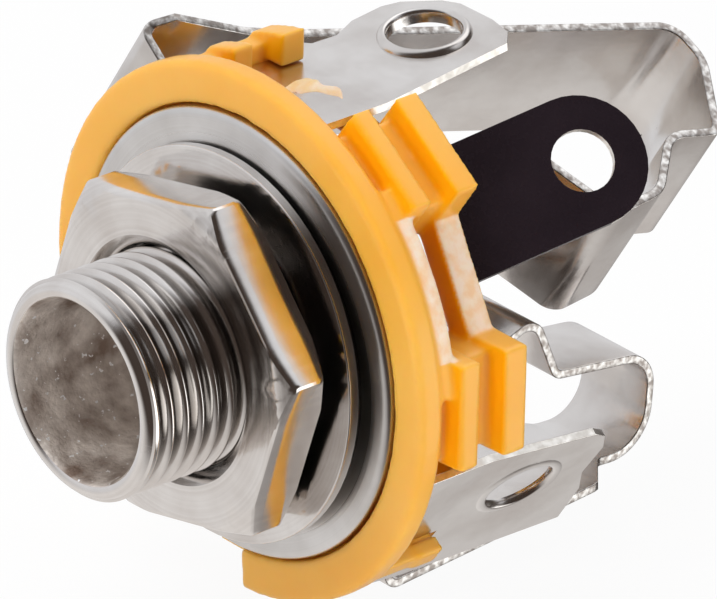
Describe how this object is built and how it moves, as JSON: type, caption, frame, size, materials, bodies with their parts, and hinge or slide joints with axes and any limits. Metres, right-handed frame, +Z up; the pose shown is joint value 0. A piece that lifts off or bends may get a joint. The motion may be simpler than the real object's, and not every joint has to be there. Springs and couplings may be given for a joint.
{
  "type": "quarter inch phone jack",
  "caption": "Open frame quarter inch phone jack with a threaded bush, hex nut, moulded body, solder lugs and leaf contact springs.",
  "frame": {"origin": "centre of the bush flange's front face, which bears on the panel", "axes": "+Y along the bush axis from the mouth to the springs, +Z up as the jack stands in the picture"},
  "size_m": [0.0251, 0.0351, 0.024],
  "materials": {
    "nickel": "nickel plated, slightly dull",
    "orange_plastic": "moulded, slightly translucent",
    "black_plating": "glossy black over metal"
  },
  "bodies": {
    "frame": {"bush": "nickel", "insulator": "orange_plastic", "sleeve_lug": "black_plating", "tip_lug": "nickel", "ring_lug": "nickel"},
    "washer_body": {"washer": "nickel"},
    "nut_body": {"nut": "nickel"},
    "tip_spring_body": {"tip_spring": "nickel"},
    "ring_spring_body": {"ring_spring": "nickel"}
  },
  "joints": [
    {"name": "washer_slide", "type": "slide", "parent": "frame", "child": "washer_body", "axis": [0, -1, 0], "range_m": [0, 0.00477]},
    {"name": "nut_spin", "type": "hinge", "parent": "washer_body", "child": "nut_body", "pos_m": [0, 0, 0], "axis": [0, -1, 0], "range_deg": [0, 2160]},
    {"name": "tip_spring_flex", "type": "hinge", "parent": "frame", "child": "tip_spring_body", "pos_m": [-0.0107, 0.0019, 0.00669], "axis": [0.5299, 0, 0.848], "range_deg": [0, 18], "stiffness_Nm_per_rad": 0.1},
    {"name": "ring_spring_flex", "type": "hinge", "parent": "frame", "child": "ring_spring_body", "pos_m": [0, 0.0057, -0.0122], "axis": [-1, 0, 0], "range_deg": [0, 6], "stiffness_Nm_per_rad": 0.1}
  ],
  "couplings": [
    {"joint": "washer_slide", "follows": "nut_spin", "m_per_rad": 0.00012633}
  ]
}
